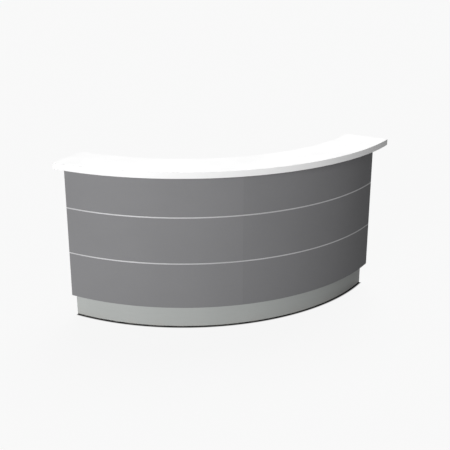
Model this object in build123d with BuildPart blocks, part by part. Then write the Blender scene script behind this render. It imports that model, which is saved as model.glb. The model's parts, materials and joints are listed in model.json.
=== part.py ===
"""Curved checkout counter: a ninety-degree module with a high customer ledge, a desk-height worktop
behind it, a three-drawer unit, a cupboard unit and knee space between them.

Millimetres. +Z is up, the customer stands at -Y and the cashier at +Y. The origin is on the floor,
under the middle of the counter's bounding box. Every curved piece shares one vertical arc axis.
"""

from build123d import *

import os
from math import asin, atan2, copysign, cos, degrees, hypot, radians, sin, sqrt

os.makedirs("parts", exist_ok=True)

# ---- Driving dimensions ------------------------------------------------------------------------
total_height = 1100.0
sector_angle = 90.0  # between the two end faces
fit_gap = 0.5  # between a board and the curved shell in front of it
edge_radius = 1.5

# Curved front: equal bands with an aluminium strip in each joint
front_radius = 1500.0
front_thickness = 18.0
front_bottom = 158.0
band_names = ("lower", "middle", "upper")
strip_height = 8.0
strip_head_depth = 6.0
strip_stem_height = 4.0
strip_stem_depth = 9.0
joint_rail_thickness = 11.0
joint_rail_height = 42.0

# Customer ledge: a board with a second layer under it, grooved over the curved front
ledge_overhang = 100.0  # beyond the curved front
ledge_width = 300.0
top_board_thickness = 19.0
top_layer_thickness = 22.0

# Plinth and sole
floor_gap = 6.0
plinth_setback = 45.0  # behind the curved front
plinth_thickness = 16.0
sole_thickness = 18.0
sole_width = 180.0

# End panels, cheeks and radial boards
end_thickness = 22.0
end_panel_setback = 35.0  # from the carcasses' cashier edge
cheek_setback = 20.0  # from the ledge's back edge
board = 18.0
upright_angle = 16.0
upright_depth = 80.0

# Worktop
worktop_height = 750.0
worktop_thickness = 25.0
worktop_depth = 670.0  # from the curved front's face
worktop_overhang = 50.0  # over the base units

# Organiser between worktop and ledge
divider_angle = 14.0
divider_setback = 30.0  # from the ledge's back edge
organiser_back_thickness = 5.0
organiser_shelf_setback = 8.0  # from the dividers' edge

# Base units
unit_width = 380.0
unit_depth = 480.0
unit_side_clearance = 3.0
unit_back_thickness = 8.0
rail_width = 80.0
front_rail_setback = 50.0
strike_rail_width = 18.0
unit_plinth_setback = 42.0
unit_plinth_back_gap = 6.0
reveal = 3.0
front_air = 1.0  # between a carcass edge and its door or drawer front
front_edge_radius = 1.0

# Shelf and its pins in the cupboard
shelf_height = 440.0
shelf_side_gap = 1.0
shelf_setback = 25.0
shelf_back_gap = 4.0
pin_radius = 2.5
pin_length = 17.0
pin_depth = 9.0
pin_hole_clearance = 0.05
pin_hole_pitch = 32.0
pin_hole_rows = 5
pin_insets = (45.0, 350.0)  # from the shelf's cashier edge

# Drawers, from the top down; the last front takes the height that is left
front_board_thickness = 18.0
drawer_names = ("top", "middle", "bottom")
upper_front_heights = (120.0, 170.0)
box_lift = 15.0  # from a front's lower edge to its box
box_headroom = 40.0  # from a box's upper edge to its front's
box_wall = 2.0
box_depth = 450.0
runner_gap = 13.0
runner_sheet = 1.5
runner_setback = 4.0
runner_lift = 6.0
channel_height = 35.0
channel_lip = 8.5
slide_height = 28.0
slide_lip = 8.0
glide_length = 60.0
glide_clearance = 0.3

# Coin and note tray in the top drawer
tray_height = 48.0
tray_depth = 292.0
tray_side_gap = 3.0
tray_wall = 4.0
tray_floor = 3.0
tray_columns = 4
tray_corner_radius = 6.0
coin_cup_length = 90.0

# Handles
handle_length = 160.0
handle_pitch = 128.0
handle_bar_radius = 5.0
handle_post_radius = 4.0
handle_end_radius = 1.0
handle_reach = 30.0
handle_drop = 60.0  # from a drawer front's upper edge
door_handle_inset = 38.0

# Lock in the top drawer
lock_side_inset = 32.0  # from the carcass side
lock_rail_gap = 2.0  # between the lock's body and the rail above it
lock_head_radius = 9.5
lock_head_thickness = 2.0
lock_body_radius = 8.0
lock_plug_radius = 5.5
lock_running_clearance = 0.06
cam_gap = 0.3
cam_rail_gap = 4.0  # between the end of the lock's body and the rail in front of it
cam_bite = 12.0  # behind the rail when locked
cam_width = 10.0
cam_thickness = 3.0
key_slot_width = 1.4
key_slot_height = 7.0
key_slot_depth = 2.6

# Lift-off door hinges
hinge_height = 60.0
hinge_inset = 90.0  # from the door's ends to the middle of each hinge
hinge_axis_out = 3.0  # beyond the carcass side
hinge_axis_back = 1.0  # behind the door's outer face
knuckle_radius = 4.0
knuckle_gap = 0.4
hinge_pin_radius = 2.0
hinge_running_clearance = 0.06
leaf_thickness = 1.5
leaf_length = 50.0
door_leaf_gap = 0.5  # between the door leaf and the knuckle
leaf_link_length = 7.0
leaf_link_thickness = 1.7
frame_leaf_relief = 8.0

# Legs
leg_flange_radius = 27.0
leg_flange_thickness = 5.0
leg_tube_radius = 17.0
leg_bore_radius = 13.0
leg_bore_roof = 6.0
foot_pad_radius = 24.0
foot_pad_height = 9.0
foot_pad_chamfer = 3.0
foot_stem_clearance = 0.3
foot_stem_length = 88.0
foot_stop_gap = 0.3
ring_leg_setback = 100.0  # from the curved front
ring_leg_end_angle = 7.0  # from the end faces
unit_leg_back = 95.0  # behind the carcass's cashier edge

# Cable tray under the worktop
cable_tray_length = 500.0
cable_tray_width = 100.0
cable_tray_depth = 55.0
cable_tray_sheet = 1.5
cable_tray_flange = 16.0
cable_tray_setback = 128.0  # from the curved front to the tray's middle
cable_slot_length = 40.0
cable_slot_width = 8.0
cable_slot_pitch = 75.0
cable_slot_count = 6

# Grommets in the worktop
grommet_angle = 9.0
grommet_setback = 40.0  # from under the ledge's back edge
grommet_hole_radius = 40.0
grommet_flange_radius = 46.0
grommet_flange_height = 3.5
grommet_sleeve_clearance = 0.4
grommet_sleeve_length = 20.0
grommet_bore_radius = 36.0
cap_radius = 39.2
cap_thickness = 2.0
cap_clearance = 0.3
cap_skirt_clearance = 0.5
cap_skirt_wall = 2.0
cap_skirt_length = 9.0
cap_notch_width = 20.0
cap_notch_length = 24.0

# Brackets under the ledge
bracket_leg = 30.0
bracket_width = 20.0
bracket_sheet = 2.0
bracket_setback = 100.0  # from the ledge's back edge
screw_radius = 1.75
screw_head_radius = 3.6
screw_head_height = 1.8
screw_length = 12.0
screw_inset = 19.0  # from a bracket's bend
screw_hole_clearance = 0.25

# Link holes in the ends
link_hole_radius = 4.5
link_setback = 80.0  # from the curved front
link_lower_inset = 80.0  # from the ends of an end panel
link_upper_inset = 60.0  # from the ends of a cheek

# ---- Worked out from the driving dimensions ----------------------------------------------------
half_angle = sector_angle / 2
top_front_radius = front_radius + ledge_overhang
top_back_radius = top_front_radius - ledge_width
plinth_radius = front_radius - plinth_setback
sole_back_radius = front_radius - sole_width
worktop_back_radius = front_radius - worktop_depth
unit_front = worktop_back_radius + worktop_overhang  # the carcasses' cashier edge
end_panel_back_radius = unit_front + end_panel_setback
cheek_back_radius = top_back_radius + cheek_setback
divider_back_radius = top_back_radius + divider_setback
end_cosine = cos(radians(half_angle))
arc_y = (top_front_radius + worktop_back_radius * end_cosine) / 2  # where the arc axis stands
shell_radius = front_radius - front_thickness
inner_radius = shell_radius - fit_gap
underside = total_height - top_board_thickness
cheek_top = underside - top_layer_thickness
joint_count = len(band_names) - 1
band_height = (underside - front_bottom - joint_count * strip_height) / len(band_names)
band_pitch = band_height + strip_height
band_bottoms = [front_bottom + number * band_pitch for number in range(len(band_names))]
strip_bottoms = [bottom - strip_height for bottom in band_bottoms[1:]]
sole_top = front_bottom + sole_thickness
worktop_bottom = worktop_height - worktop_thickness
rail_back_radius = inner_radius - joint_rail_thickness
organiser_shelf_height = (worktop_height + cheek_top - board) / 2
organiser_front_radius = rail_back_radius - fit_gap
organiser_back_radius = organiser_front_radius - organiser_back_thickness
plinth_inner_radius = plinth_radius - plinth_thickness

unit_half = unit_width / 2
unit_back = unit_front + unit_depth
unit_angle = (
    half_angle
    - degrees(atan2(unit_half, unit_front))
    - degrees(asin((end_thickness + unit_side_clearance) / hypot(unit_half, unit_front)))
)
inside_half = unit_half - board
inside_back = unit_back - unit_back_thickness
front_face = unit_front - front_air - front_board_thickness
front_half = unit_half - reveal / 2
front_stack_top = worktop_bottom - reveal

drawer_gaps = reveal * len(upper_front_heights)
lowest_front_height = front_stack_top - sole_top - sum(upper_front_heights) - drawer_gaps
front_heights = (*upper_front_heights, lowest_front_height)
front_tops = [
    front_stack_top - sum(front_heights[:number]) - number * reveal
    for number in range(len(front_heights))
]
front_bottoms = [top - height for top, height in zip(front_tops, front_heights)]
box_bottoms = [max(bottom + box_lift, sole_top + board + reveal) for bottom in front_bottoms]
box_heights = [top - box_headroom - low for top, low in zip(front_tops, box_bottoms)]
box_half = inside_half - runner_gap
box_front = front_face + front_board_thickness
channel_front = unit_front + runner_setback

lock_side = inside_half - lock_side_inset
lock_height = worktop_bottom - board - lock_rail_gap - lock_body_radius
lock_body_length = front_board_thickness + front_air + strike_rail_width + cam_rail_gap
cam_length = lock_rail_gap + lock_body_radius + cam_bite
hinge_x = unit_half + hinge_axis_out
hinge_back = front_face + hinge_axis_back
hinge_heights = (sole_top + hinge_inset, front_stack_top - hinge_inset)
grommet_radius_place = top_back_radius - grommet_setback
grommet_tops = worktop_height + grommet_flange_height
cable_tray_radius = front_radius - cable_tray_setback
bracket_radius_place = top_back_radius + bracket_setback
link_radius_place = front_radius - link_setback
ring_leg_radius = front_radius - ring_leg_setback
outer_leg_angle = half_angle - ring_leg_end_angle
ring_leg_angles = (-outer_leg_angle, -outer_leg_angle / 3, outer_leg_angle / 3, outer_leg_angle)
socket_bottom = foot_pad_height + foot_stop_gap


# ---- Planes and shared shapes ------------------------------------------------------------------
def turned_plane(angle, height=0.0):
    """The floor plane turned about the arc axis: its -Y points out from the axis at this angle."""
    turn = radians(angle)
    return Plane(origin=(0, arc_y, height), x_dir=(cos(turn), sin(turn), 0), z_dir=(0, 0, 1))


floor_plane = turned_plane(0)
drawer_unit = turned_plane(-unit_angle)
cupboard_unit = turned_plane(unit_angle)


def save(piece, name):
    """Labels a finished piece and writes its STEP file."""
    piece.part.label = name
    export_step(piece.part, f"parts/{name}.step")


def grouped(pieces):
    """Several separate solids as one part."""
    with BuildPart() as group:
        add([piece.part for piece in pieces])
    return group


def outward(angle):
    """Unit vector that points out from the arc axis."""
    return Vector(sin(radians(angle)), -cos(radians(angle)))


def along(angle):
    """Unit vector along the arc, towards larger angles."""
    return Vector(cos(radians(angle)), sin(radians(angle)))


def wedge_corners(sweep, insets, reach):
    """A triangle between two radial planes, each moved inwards by its inset."""
    start, end = sweep
    first = along(start) * insets[0]
    last = along(end) * -insets[1]
    gap = last - first
    travel = (gap.X * outward(end).Y - gap.Y * outward(end).X) / sin(radians(end - start))
    apex = first + outward(start) * travel
    return [apex, apex + outward(end) * reach, apex + outward(start) * reach]


def ring_board(inner, outer, bottom, height, sweep=(-half_angle, half_angle), insets=(0, 0)):
    """A level board cut to part of a ring, between two end planes."""
    with BuildPart() as piece:
        with BuildSketch(turned_plane(0, bottom)):
            Circle(outer)
            Circle(inner, mode=Mode.SUBTRACT)
            with BuildLine():
                Polyline(*wedge_corners(sweep, insets, 3 * outer), close=True)
            make_face(mode=Mode.INTERSECT)
        extrude(amount=height)
    return piece


def block(x, y, z, mode=Mode.ADD):
    """Adds a box between the given (low, high) pairs to the part that is being built."""
    with Locations(((x[0] + x[1]) / 2, (y[0] + y[1]) / 2, (z[0] + z[1]) / 2)):
        Box(x[1] - x[0], y[1] - y[0], z[1] - z[0], mode=mode)


def on_side(side, near, far):
    """The (low, high) pair between two distances, on the +1 or -1 side of zero."""
    return sorted((side * near, side * far))


def radial_board(angle, faces, radii, heights, hole_heights=()):
    """An upright board square to the arc. Its outer edge stops where its corners meet the ring."""
    outer = sqrt(radii[1] ** 2 - max(abs(face) for face in faces) ** 2)
    with BuildPart(turned_plane(angle)) as piece:
        block(faces, (-outer, -radii[0]), heights)
        for height in hole_heights:
            with Locations(Location((0, -link_radius_place, height), (0, 90, 0))):
                Cylinder(link_hole_radius, 3 * end_thickness, mode=Mode.SUBTRACT)
    return piece


def end_boards(radii, heights, hole_heights=()):
    """The pair of upright boards that lie along the two end faces, with their link holes."""
    pair = []
    for side in (-1, 1):
        faces = on_side(-side, 0, end_thickness)
        pair.append(radial_board(side * half_angle, faces, radii, heights, hole_heights))
    return grouped(pair)


def pair_about(middle, pitch):
    """Two heights, half a pitch below and above the middle."""
    return (middle - pitch / 2, middle + pitch / 2)


def pair_inside(heights, inset):
    """Two heights, each an inset inside one end of a board."""
    return (heights[0] + inset, heights[1] - inset)


# ---- Customer ledge ----------------------------------------------------------------------------
ledge_board = ring_board(top_back_radius, top_front_radius, underside, top_board_thickness)
with BuildPart() as counter_top:
    add(ledge_board.part)
    fillet(counter_top.edges().group_by(Axis.Z)[-1], radius=edge_radius)
save(counter_top, "counter_top")

overhang_board = ring_board(
    front_radius + fit_gap, top_front_radius, cheek_top, top_layer_thickness
)
with BuildPart() as top_layer_front:
    add(overhang_board.part)
    lower_edges = top_layer_front.edges().group_by(Axis.Z)[0]
    fillet(lower_edges.sort_by(SortBy.LENGTH)[-1], radius=edge_radius)
save(top_layer_front, "top_layer_front")

top_layer_rear = ring_board(top_back_radius, inner_radius, cheek_top, top_layer_thickness)
save(top_layer_rear, "top_layer_rear")

# ---- Curved front ------------------------------------------------------------------------------
for name, bottom in zip(band_names, band_bottoms):
    save(ring_board(shell_radius, front_radius, bottom, band_height), f"front_panel_{name}")


def inlay_strip(bottom):
    """A T-shaped strip: its head shows in the joint and its stem lies between the bands."""
    stem_radius = front_radius - strip_head_depth
    stem_bottom = bottom + (strip_height - strip_stem_height) / 2
    head = ring_board(stem_radius, front_radius, bottom, strip_height)
    stem = ring_board(stem_radius - strip_stem_depth, stem_radius, stem_bottom, strip_stem_height)
    return grouped([head, stem])


save(grouped([inlay_strip(bottom) for bottom in strip_bottoms]), "inlay_strips")

rail_shift = (strip_height - joint_rail_height) / 2
end_insets = (end_thickness, end_thickness)
joint_rails = grouped(
    [
        ring_board(
            rail_back_radius,
            inner_radius,
            bottom + rail_shift,
            joint_rail_height,
            insets=end_insets,
        )
        for bottom in strip_bottoms
    ]
)
save(joint_rails, "joint_rails")

# ---- Plinth and sole ---------------------------------------------------------------------------
plinth_height = front_bottom - floor_gap
save(
    ring_board(plinth_inner_radius, plinth_radius, floor_gap, plinth_height),
    "plinth_fascia",
)
plinth_returns = end_boards(
    (end_panel_back_radius, plinth_inner_radius), (floor_gap, front_bottom)
)
save(plinth_returns, "plinth_returns")
save(
    ring_board(sole_back_radius, inner_radius, front_bottom, sole_thickness, insets=end_insets),
    "sole_plate",
)

# ---- Legs: a socket screwed under the sole or a unit, with a levelling foot in it --------------
leg_places = {}
for name, angle in zip(("far_left", "left", "right", "far_right"), ring_leg_angles):
    leg_places[f"foot_front_{name}"] = (turned_plane(angle), ring_leg_radius, front_bottom)
for name, turned in (("drawers", drawer_unit), ("cupboard", cupboard_unit)):
    leg_places[f"foot_{name}"] = (turned, unit_front + unit_leg_back, sole_top)


def level_disc(turned, radius_place, radius, bottom, top, mode=Mode.ADD):
    """Adds an upright cylinder at the given distance from the arc axis."""
    with BuildSketch(turned.offset(bottom)) as disc:
        with Locations((0, -radius_place)):
            Circle(radius)
    extrude(disc.sketch, amount=top - bottom, mode=mode)


with BuildPart() as leg_sockets:
    for turned, place, top in leg_places.values():
        level_disc(turned, place, leg_flange_radius, top - leg_flange_thickness, top)
        level_disc(turned, place, leg_tube_radius, socket_bottom, top - leg_flange_thickness)
        level_disc(
            turned, place, leg_bore_radius, socket_bottom, top - leg_bore_roof, Mode.SUBTRACT
        )
save(leg_sockets, "leg_sockets")

foot_stem_radius = leg_bore_radius - foot_stem_clearance
for name, (turned, place, top) in leg_places.items():
    with BuildPart() as foot:
        level_disc(turned, place, foot_pad_radius, 0, foot_pad_height)
        chamfer(foot.edges().group_by(Axis.Z)[-1], length=foot_pad_chamfer)
        level_disc(
            turned, place, foot_stem_radius, foot_pad_height, foot_pad_height + foot_stem_length
        )
    save(foot, name)

# ---- End panels, cheeks and uprights -----------------------------------------------------------
end_panel_heights = (front_bottom, worktop_bottom)
lower_links = pair_inside(end_panel_heights, link_lower_inset)
end_panels = end_boards((end_panel_back_radius, inner_radius), end_panel_heights, lower_links)
save(end_panels, "end_panels")

cheek_heights = (worktop_height, cheek_top)
upper_links = pair_inside(cheek_heights, link_upper_inset)
cheeks = end_boards((cheek_back_radius, inner_radius), cheek_heights, upper_links)
save(cheeks, "cheeks")

board_faces = (-board / 2, board / 2)
uprights = grouped(
    [
        radial_board(
            side * upright_angle,
            board_faces,
            (rail_back_radius - upright_depth, rail_back_radius),
            (sole_top, worktop_bottom),
        )
        for side in (-1, 1)
    ]
)
save(uprights, "uprights")

# ---- Worktop with its grommets -----------------------------------------------------------------
grommet_spots = [outward(side * grommet_angle) * grommet_radius_place for side in (-1, 1)]
desk_board = ring_board(worktop_back_radius, inner_radius, worktop_bottom, worktop_thickness)
with BuildPart() as worktop:
    add(desk_board.part)
    cashier_edge = worktop.faces().filter_by(GeomType.CYLINDER).sort_by(Axis.Y)[-1]
    fillet(cashier_edge.edges().filter_by(GeomType.CIRCLE), radius=edge_radius)
    with BuildSketch(turned_plane(0, worktop_height)):
        with Locations(*grommet_spots):
            Circle(grommet_hole_radius)
    extrude(amount=-worktop_thickness, mode=Mode.SUBTRACT)
    add(joint_rails.part, mode=Mode.SUBTRACT)  # notched where a joint rail crosses it
save(worktop, "worktop")

recess_floor = grommet_tops - cap_thickness - cap_clearance
with BuildPart() as grommet_rings:
    with BuildSketch(turned_plane(0, worktop_height)):
        with Locations(*grommet_spots):
            Circle(grommet_flange_radius)
    extrude(amount=grommet_flange_height)
    chamfer(grommet_rings.edges().group_by(Axis.Z)[-1], length=grommet_flange_height / 3)
    with BuildSketch(turned_plane(0, worktop_height)):
        with Locations(*grommet_spots):
            Circle(grommet_hole_radius - grommet_sleeve_clearance)
    extrude(amount=-grommet_sleeve_length)
    with BuildSketch(turned_plane(0, recess_floor)):
        with Locations(*grommet_spots):
            Circle(cap_radius + cap_clearance)
    extrude(amount=cap_thickness + cap_clearance, mode=Mode.SUBTRACT)
    with BuildSketch(turned_plane(0, grommet_tops)):
        with Locations(*grommet_spots):
            Circle(grommet_bore_radius)
    extrude(amount=-(grommet_flange_height + grommet_sleeve_length), mode=Mode.SUBTRACT)
save(grommet_rings, "grommet_rings")

skirt_radius = grommet_bore_radius - cap_skirt_clearance
cap_bottom = grommet_tops - cap_thickness
for side, name in ((-1, "left"), (1, "right")):
    cap_plane = turned_plane(side * grommet_angle, cap_bottom)
    with BuildPart() as grommet_cap:
        with BuildSketch(cap_plane):
            with Locations((0, -grommet_radius_place)):
                Circle(cap_radius)
        extrude(amount=cap_thickness)
        with BuildSketch(cap_plane):
            with Locations((0, -grommet_radius_place)):
                Circle(skirt_radius)
                Circle(skirt_radius - cap_skirt_wall, mode=Mode.SUBTRACT)
        extrude(amount=-cap_skirt_length)
        with BuildSketch(cap_plane):
            with Locations((0, -grommet_radius_place - cap_radius)):
                notch_centres = 2 * cap_notch_length - cap_notch_width
                SlotCenterToCenter(notch_centres, cap_notch_width, rotation=90)
        extrude(amount=cap_skirt_length, both=True, mode=Mode.SUBTRACT)
    save(grommet_cap, f"grommet_cap_{name}")

# ---- Cable tray: a folded channel screwed under the worktop ------------------------------------
tray_y = (-cable_tray_radius - cable_tray_width / 2, -cable_tray_radius + cable_tray_width / 2)
tray_x = (-cable_tray_length / 2, cable_tray_length / 2)
tray_bottom = worktop_bottom - cable_tray_depth
with BuildPart(floor_plane) as cable_tray:
    block(tray_x, tray_y, (tray_bottom, tray_bottom + cable_tray_sheet))
    for edge, sign in zip(tray_y, (-1, 1)):
        wall = sorted((edge, edge - sign * cable_tray_sheet))
        flange = sorted((edge, edge + sign * cable_tray_flange))
        block(tray_x, wall, (tray_bottom, worktop_bottom))
        block(tray_x, flange, (worktop_bottom - cable_tray_sheet, worktop_bottom))
    with BuildSketch(turned_plane(0, tray_bottom)):
        with Locations((0, -cable_tray_radius)):
            with GridLocations(cable_slot_pitch, 1, cable_slot_count, 1):
                SlotOverall(cable_slot_length, cable_slot_width)
    extrude(amount=cable_tray_sheet, mode=Mode.SUBTRACT)
save(cable_tray, "cable_tray")

# ---- Organiser: back lining, dividers and shelves between worktop and ledge --------------------
organiser_height = cheek_top - worktop_height
save(
    ring_board(
        organiser_back_radius,
        organiser_front_radius,
        worktop_height,
        organiser_height,
        insets=end_insets,
    ),
    "organiser_back",
)
dividers = grouped(
    [
        radial_board(
            side * divider_angle,
            board_faces,
            (divider_back_radius, organiser_back_radius),
            (worktop_height, cheek_top),
        )
        for side in (-1, 1)
    ]
)
save(dividers, "dividers")

shelf_ends = (
    ((-half_angle, -divider_angle), (end_thickness, board / 2)),
    ((-divider_angle, divider_angle), (board / 2, board / 2)),
    ((divider_angle, half_angle), (board / 2, end_thickness)),
)
organiser_shelves = grouped(
    [
        ring_board(
            divider_back_radius + organiser_shelf_setback,
            organiser_back_radius,
            organiser_shelf_height,
            board,
            sweep=sweep,
            insets=insets,
        )
        for sweep, insets in shelf_ends
    ]
)
save(organiser_shelves, "organiser_shelves")

# ---- Angle brackets that hold the ledge to the dividers and cheeks -----------------------------
bracket_places = [
    (side * angle, side, face)
    for side in (-1, 1)
    for angle, face in ((divider_angle, board / 2), (half_angle, end_thickness))
]
bracket_y = (-bracket_radius_place - bracket_width / 2, -bracket_radius_place + bracket_width / 2)


def screw_spots(side, face):
    """Where one bracket's screws stand: one up into the ledge, one sideways into the board."""
    near = bracket_sheet + face
    upright = (-side * (face + screw_inset), -bracket_radius_place, cheek_top - bracket_sheet)
    sideways = (-side * near, -bracket_radius_place, cheek_top - screw_inset)
    return Locations(Location(upright, (0, 0, 0)), Location(sideways, (0, side * 90, 0)))


screws = []
brackets = []
for angle, side, face in bracket_places:
    with BuildPart(turned_plane(angle)) as screw_pair:
        with screw_spots(side, face):
            Cylinder(screw_radius, screw_length, align=(Align.CENTER, Align.CENTER, Align.MIN))
            Cylinder(
                screw_head_radius,
                screw_head_height,
                align=(Align.CENTER, Align.CENTER, Align.MAX),
            )
    screws.append(screw_pair)
    with BuildPart(turned_plane(angle)) as bracket:
        under = (cheek_top - bracket_sheet, cheek_top)
        upright = (cheek_top - bracket_leg, cheek_top)
        block(on_side(-side, face, face + bracket_leg), bracket_y, under)
        block(on_side(-side, face, face + bracket_sheet), bracket_y, upright)
        with screw_spots(side, face):
            Cylinder(screw_radius + screw_hole_clearance, 3 * bracket_sheet, mode=Mode.SUBTRACT)
    brackets.append(bracket)
save(grouped(screws), "bracket_screws")
save(grouped(brackets), "ledge_brackets")

# ---- Carcasses of the two base units -----------------------------------------------------------
unit_heights = (sole_top, worktop_bottom)
inside_x = (-inside_half, inside_half)
pin_radii = [unit_front + shelf_setback + inset for inset in pin_insets]
pin_height = shelf_height - pin_radius

with BuildPart(drawer_unit, cupboard_unit) as plain_sides:
    for side in (-1, 1):
        block(on_side(side, inside_half, unit_half), (-unit_back, -unit_front), unit_heights)

with BuildPart(cupboard_unit) as pin_holes:
    for place in pin_radii:
        with Locations((0, -place, pin_height)):
            with GridLocations(2 * inside_half, 1, 2, 1):
                for row in range(pin_hole_rows):
                    lift = (row - (pin_hole_rows - 1) / 2) * pin_hole_pitch
                    with Locations(Location((0, 0, lift), (0, 90, 0))):
                        Cylinder(pin_radius + pin_hole_clearance, 2 * pin_depth)

with BuildPart() as unit_sides:
    add(plain_sides.part)
    add(pin_holes.part, mode=Mode.SUBTRACT)
save(unit_sides, "unit_sides")

with BuildPart(cupboard_unit) as shelf_pins:
    for place in pin_radii:
        for side in (-1, 1):
            middle = side * (inside_half + pin_depth - pin_length / 2)
            with Locations(Location((middle, -place, pin_height), (0, 90, 0))):
                Cylinder(pin_radius, pin_length)
save(shelf_pins, "shelf_pins")

with BuildPart(cupboard_unit) as cupboard_shelf:
    block(
        (-inside_half + shelf_side_gap, inside_half - shelf_side_gap),
        (-inside_back + shelf_back_gap, -unit_front - shelf_setback),
        (shelf_height, shelf_height + board),
    )
save(cupboard_shelf, "cupboard_shelf")

with BuildPart(drawer_unit, cupboard_unit) as unit_bottoms:
    block(inside_x, (-inside_back, -unit_front), (sole_top, sole_top + board))
save(unit_bottoms, "unit_bottoms")

with BuildPart(drawer_unit, cupboard_unit) as unit_backs:
    block(inside_x, (-unit_back, -inside_back), unit_heights)
save(unit_backs, "unit_backs")

rail_fronts = (
    (unit_front, strike_rail_width),
    (unit_front + front_rail_setback, rail_width),
    (inside_back - rail_width, rail_width),
)
with BuildPart(drawer_unit, cupboard_unit) as unit_rails:
    for front, width in rail_fronts:
        block(inside_x, (-front - width, -front), (worktop_bottom - board, worktop_bottom))
save(unit_rails, "unit_rails")

toe_front = unit_front + unit_plinth_setback
toe_back = sqrt((sole_back_radius - unit_plinth_back_gap) ** 2 - unit_half**2)
toe_boards = []
for turned, knee_side in ((drawer_unit, 1), (cupboard_unit, -1)):
    with BuildPart(turned) as toe_board:
        block((-unit_half, unit_half), (-toe_front - board, -toe_front), (floor_gap, sole_top))
        block(
            on_side(knee_side, unit_half - board, unit_half),
            (-toe_back, -toe_front - board),
            (floor_gap, sole_top),
        )
    toe_boards.append(toe_board)
save(grouped(toe_boards), "unit_plinths")

# ---- Drawer runners ----------------------------------------------------------------------------
runner_bottoms = [bottom + runner_lift for bottom in box_bottoms]
slide_rise = (channel_height - slide_height) / 2


def channel(side, web, tip, y, z):
    """Adds a C channel whose web stands at |x| = web and whose lips end at |x| = tip."""
    inner_web = web + copysign(runner_sheet, tip - web)
    block(sorted((side * web, side * inner_web)), y, z)
    for low in (z[0], z[1] - runner_sheet):
        block(sorted((side * web, side * tip)), y, (low, low + runner_sheet))


channel_tip = inside_half - channel_lip
with BuildPart(drawer_unit) as runner_channels:
    for low in runner_bottoms:
        for side in (-1, 1):
            channel(
                side,
                inside_half,
                channel_tip,
                (-channel_front - box_depth, -channel_front),
                (low, low + channel_height),
            )
save(runner_channels, "runner_channels")

slide_tip = box_half + slide_lip
glide_thickness = slide_rise - runner_sheet - glide_clearance
with BuildPart(drawer_unit) as runner_glides:
    for low in runner_bottoms:
        high_glide = low + channel_height - runner_sheet - glide_thickness
        for glide_bottom in (low + runner_sheet, high_glide):
            for side in (-1, 1):
                block(
                    on_side(side, channel_tip, slide_tip),
                    (-channel_front - glide_length, -channel_front),
                    (glide_bottom, glide_bottom + glide_thickness),
                )
save(runner_glides, "runner_glides")


# ---- Drawers -----------------------------------------------------------------------------------
def front_board(turned, heights):
    """A flat door or drawer front with its outer edges eased."""
    outer_side = Axis(turned.origin, turned.y_dir)
    with BuildPart(turned) as front:
        block((-front_half, front_half), (-box_front, -front_face), heights)
        fillet(front.faces().sort_by(outer_side)[-1].edges(), radius=front_edge_radius)
    return front


def bar_handle(turned, x, z, upright=False):
    """A bar on two posts that stands off a front, with its middle at (x, z)."""
    bar_y = handle_reach - handle_bar_radius - front_face
    with BuildPart(turned) as handle:
        with Locations(Location((x, bar_y, z), (0, 0 if upright else 90, 0))):
            Cylinder(handle_bar_radius, handle_length)
        fillet(handle.edges().filter_by(GeomType.CIRCLE), radius=handle_end_radius)
        for shift in (-handle_pitch / 2, handle_pitch / 2):
            post = (x, bar_y, z + shift) if upright else (x + shift, bar_y, z)
            with Locations(Location(post, (90, 0, 0))):
                Cylinder(
                    handle_post_radius,
                    front_face + bar_y,
                    align=(Align.CENTER, Align.CENTER, Align.MIN),
                )
    return handle


def lock_plane(y):
    """The plane square to the lock's axis at local y. Its own +Y points down."""
    origin = drawer_unit.from_local_coords((lock_side, y, lock_height))
    return Plane(origin=origin, x_dir=drawer_unit.x_dir, z_dir=drawer_unit.y_dir)


for name, low, top, box_low, box_height in zip(
    drawer_names, front_bottoms, front_tops, box_bottoms, box_heights
):
    plain_front = front_board(drawer_unit, (low, top))
    with BuildPart() as drawer_front:
        add(plain_front.part)
        if name == drawer_names[0]:
            with BuildSketch(lock_plane(-front_face)):
                Circle(lock_body_radius)
            extrude(amount=-front_board_thickness, mode=Mode.SUBTRACT)
    save(drawer_front, f"drawer_{name}_front")

    with BuildPart(drawer_unit) as drawer_box:
        block(
            (-box_half, box_half),
            (-box_front - box_depth, -box_front),
            (box_low, box_low + box_height),
        )
        block(
            (-box_half + box_wall, box_half - box_wall),
            (-box_front - box_depth + box_wall, -box_front - box_wall),
            (box_low + box_wall, box_low + box_height),
            mode=Mode.SUBTRACT,
        )
    save(drawer_box, f"drawer_{name}_box")

    slide_low = box_low + runner_lift + slide_rise
    with BuildPart(drawer_unit) as drawer_slides:
        for side in (-1, 1):
            channel(
                side,
                box_half,
                slide_tip,
                (-box_front - box_depth, -channel_front),
                (slide_low, slide_low + slide_height),
            )
    save(drawer_slides, f"drawer_{name}_slides")
    save(bar_handle(drawer_unit, 0, top - handle_drop), f"drawer_{name}_handle")

# ---- Coin and note tray in the top drawer ------------------------------------------------------
coin_half = box_half - box_wall - tray_side_gap
coin_front = box_front + box_wall + tray_side_gap
coin_bottom = box_bottoms[0] + box_wall
column_pitch = (2 * coin_half - tray_wall) / tray_columns
note_length = tray_depth - coin_cup_length - 3 * tray_wall
with BuildPart(drawer_unit) as coin_tray:
    block(
        (-coin_half, coin_half),
        (-coin_front - tray_depth, -coin_front),
        (coin_bottom, coin_bottom + tray_height),
    )
    pocket_front = coin_front + tray_wall
    for length in (coin_cup_length, note_length):
        with BuildSketch(drawer_unit.offset(coin_bottom + tray_floor)):
            with Locations((0, -pocket_front - length / 2)):
                with GridLocations(column_pitch, 1, tray_columns, 1):
                    RectangleRounded(column_pitch - tray_wall, length, tray_corner_radius)
        extrude(amount=tray_height - tray_floor, mode=Mode.SUBTRACT)
        pocket_front += length + tray_wall
save(coin_tray, "coin_tray")

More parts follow.
